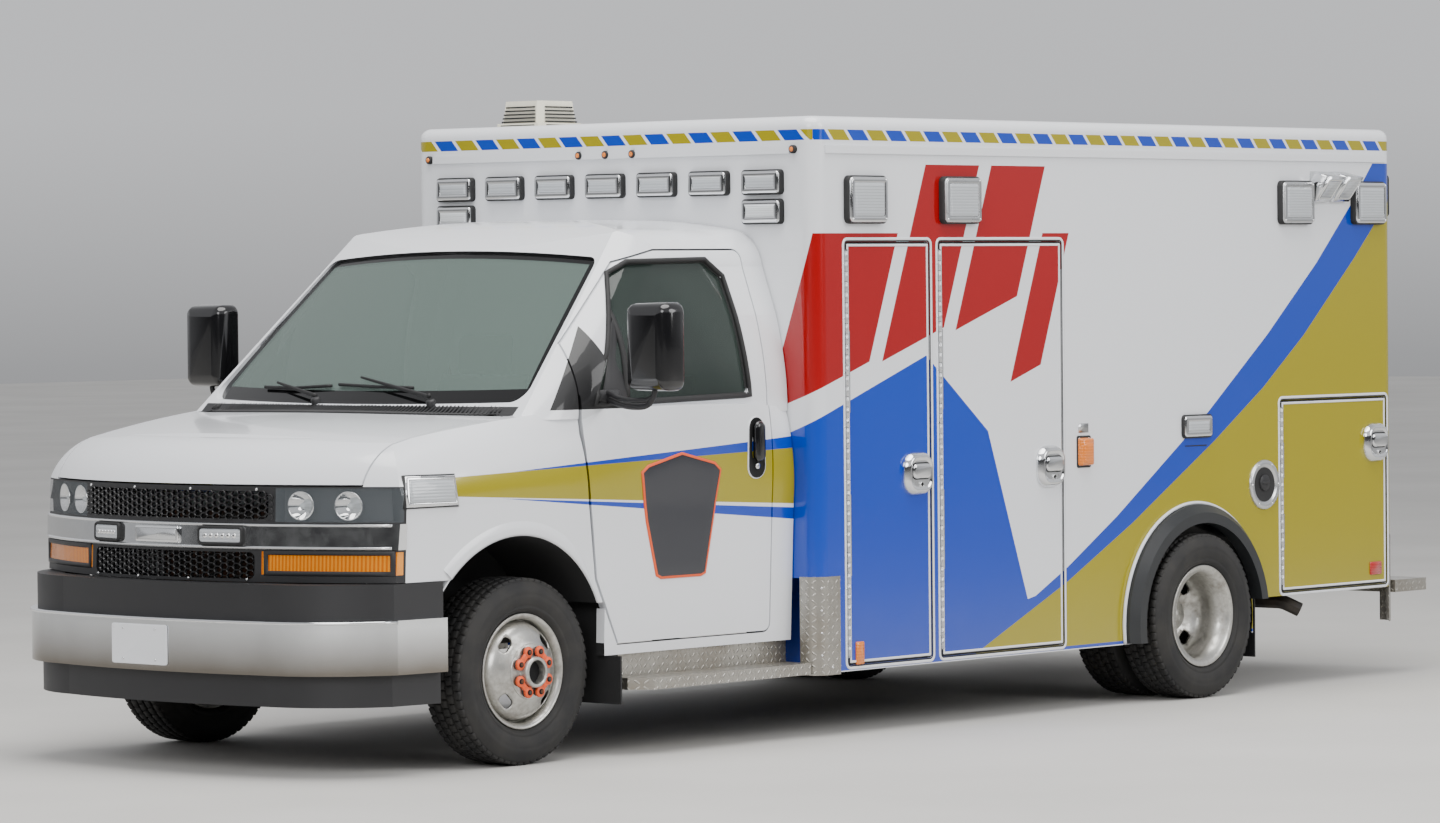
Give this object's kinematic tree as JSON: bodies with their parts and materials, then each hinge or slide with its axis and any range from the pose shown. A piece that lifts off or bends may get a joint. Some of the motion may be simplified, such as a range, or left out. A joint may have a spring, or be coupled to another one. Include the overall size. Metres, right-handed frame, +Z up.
{
  "type": "box ambulance on a van cab chassis",
  "caption": "Box ambulance on a cutaway van chassis with twin rear wheels, hollow cab and patient module, opening doors, lockers and hood, and steering.",
  "frame": {"origin": "centre of the footprint, on the ground", "axes": "+X forward, +Y to the driver's side (left), +Z up"},
  "size_m": [6.915, 2.696, 2.607],
  "materials": {
    "black_plastic": "satin",
    "black_rubber": "matt",
    "bright_metal": "polished",
    "cast_iron": "rough",
    "cream_plastic": "satin",
    "diamond_plate": "raised tread pattern",
    "frame_steel": "satin black",
    "lamp_lens": "clear, red and amber lenses in bright trays",
    "seat_fabric": "woven",
    "tinted_glass": "tinted",
    "tyre_rubber": "matt",
    "wheel_steel": "dusty",
    "white_paint": "gloss, with stripes and side panels in blue, yellow and red"
  },
  "bodies": {
    "chassis": {"bumper_pads": "black_plastic", "cab_seats": "seat_fabric", "cab_shell": "white_paint", "chassis_frame": "frame_steel", "corner_guards": "diamond_plate", "cowl": "white_paint", "dashboard": "black_plastic", "engine_block": "cast_iron", "exhaust": "frame_steel", "front_bumper": "bright_metal", "front_lamps": "lamp_lens", "front_mask": "black_plastic", "front_suspension": "frame_steel", "fuel_tank": "frame_steel", "grille_bar": "bright_metal", "grille_mesh": "black_plastic", "module_lamps": "lamp_lens", "module_shell": "white_paint", "mud_flaps": "black_rubber", "rear_axle": "frame_steel", "rear_step": "diamond_plate", "roof_vent": "cream_plastic", "running_boards": "diamond_plate", "side_ports": "black_plastic", "wheel_flares": "black_rubber", "windscreen": "tinted_glass"},
    "knuckle_left": {"knuckle_left": "cast_iron"},
    "knuckle_right": {"knuckle_right": "cast_iron"},
    "front_wheel_left": {"front_wheel_left": "wheel_steel", "front_tyre_left": "tyre_rubber"},
    "front_wheel_right": {"front_wheel_right": "wheel_steel", "front_tyre_right": "tyre_rubber"},
    "rear_wheels_left": {"rear_wheels_left": "wheel_steel", "rear_tyres_left": "tyre_rubber"},
    "rear_wheels_right": {"rear_wheels_right": "wheel_steel", "rear_tyres_right": "tyre_rubber"},
    "steering_wheel": {"steering_wheel": "black_plastic"},
    "hood": {"hood": "white_paint"},
    "cab_door_left": {"cab_door_left": "white_paint", "door_glass_left": "tinted_glass", "mirror_left": "black_plastic"},
    "cab_door_right": {"cab_door_right": "white_paint", "door_glass_right": "tinted_glass", "mirror_right": "black_plastic"},
    "locker_door_front_left": {"locker_door_front_left": "white_paint"},
    "locker_door_middle_left": {"locker_door_middle_left": "white_paint"},
    "locker_door_rear_left": {"locker_door_rear_left": "white_paint"},
    "locker_door_rear_right": {"locker_door_rear_right": "white_paint"},
    "entry_door_right": {"entry_door_right": "white_paint", "entry_glass_right": "tinted_glass"},
    "rear_door_left": {"rear_door_left": "white_paint", "rear_glass_left": "tinted_glass"},
    "rear_door_right": {"rear_door_right": "white_paint", "rear_glass_right": "tinted_glass"}
  },
  "joints": [
    {"name": "steering_left", "type": "hinge", "parent": "chassis", "child": "knuckle_left", "pos_m": [2.4025, 0.775, 0.358], "axis": [0, 0, 1], "range_deg": [-32, 32]},
    {"name": "steering_right", "type": "hinge", "parent": "chassis", "child": "knuckle_right", "pos_m": [2.4025, -0.775, 0.358], "axis": [0, 0, 1], "range_deg": [-32, 32]},
    {"name": "steering_column", "type": "hinge", "parent": "chassis", "child": "steering_wheel", "pos_m": [1.7625, 0.43, 1.215], "axis": [-0.848, 0, 0.5299], "range_deg": [-540, 540]},
    {"name": "front_wheel_left_spin", "type": "hinge", "parent": "knuckle_left", "child": "front_wheel_left", "pos_m": [2.4025, 0.864, 0.358], "axis": [0, 1, 0], "continuous": true},
    {"name": "front_wheel_right_spin", "type": "hinge", "parent": "knuckle_right", "child": "front_wheel_right", "pos_m": [2.4025, -0.864, 0.358], "axis": [0, 1, 0], "continuous": true},
    {"name": "rear_wheels_left_spin", "type": "hinge", "parent": "chassis", "child": "rear_wheels_left", "pos_m": [-1.6365, 0.961, 0.358], "axis": [0, 1, 0], "continuous": true},
    {"name": "rear_wheels_right_spin", "type": "hinge", "parent": "chassis", "child": "rear_wheels_right", "pos_m": [-1.6365, -0.961, 0.358], "axis": [0, 1, 0], "continuous": true},
    {"name": "cab_door_left_hinge", "type": "hinge", "parent": "chassis", "child": "cab_door_left", "pos_m": [2.1625, 0.945, 1], "axis": [0, 0, -1], "range_deg": [0, 65]},
    {"name": "cab_door_right_hinge", "type": "hinge", "parent": "chassis", "child": "cab_door_right", "pos_m": [2.1625, -0.945, 1], "axis": [0, 0, -1], "range_deg": [-65, 0]},
    {"name": "hood_hinge", "type": "hinge", "parent": "chassis", "child": "hood", "pos_m": [2.3425, 0, 1.318], "axis": [0, -1, 0], "range_deg": [0, 55]},
    {"name": "locker_door_front_left_hinge", "type": "hinge", "parent": "chassis", "child": "locker_door_front_left", "pos_m": [0.6815, 1.126, 1.133], "axis": [0, 0, -1], "range_deg": [0, 100]},
    {"name": "locker_door_middle_left_hinge", "type": "hinge", "parent": "chassis", "child": "locker_door_middle_left", "pos_m": [0.0885, 1.126, 1.133], "axis": [0, 0, -1], "range_deg": [0, 100]},
    {"name": "locker_door_rear_left_hinge", "type": "hinge", "parent": "chassis", "child": "locker_door_rear_left", "pos_m": [-2.3035, 1.126, 0.85], "axis": [0, 0, -1], "range_deg": [0, 100]},
    {"name": "locker_door_rear_right_hinge", "type": "hinge", "parent": "chassis", "child": "locker_door_rear_right", "pos_m": [-2.3035, -1.126, 0.85], "axis": [0, 0, 1], "range_deg": [0, 100]},
    {"name": "entry_door_right_hinge", "type": "hinge", "parent": "chassis", "child": "entry_door_right", "pos_m": [0.2525, -1.126, 1.2], "axis": [0, 0, 1], "range_deg": [0, 100]},
    {"name": "rear_door_left_hinge", "type": "hinge", "parent": "chassis", "child": "rear_door_left", "pos_m": [-3.2035, 0.715, 1.425], "axis": [0, 0, -1], "range_deg": [0, 100]},
    {"name": "rear_door_right_hinge", "type": "hinge", "parent": "chassis", "child": "rear_door_right", "pos_m": [-3.2035, -0.715, 1.425], "axis": [0, 0, 1], "range_deg": [0, 100]}
  ],
  "couplings": [
    {"joint": "steering_right", "follows": "steering_left", "ratio": 1},
    {"joint": "steering_column", "follows": "steering_left", "ratio": 16.875}
  ]
}
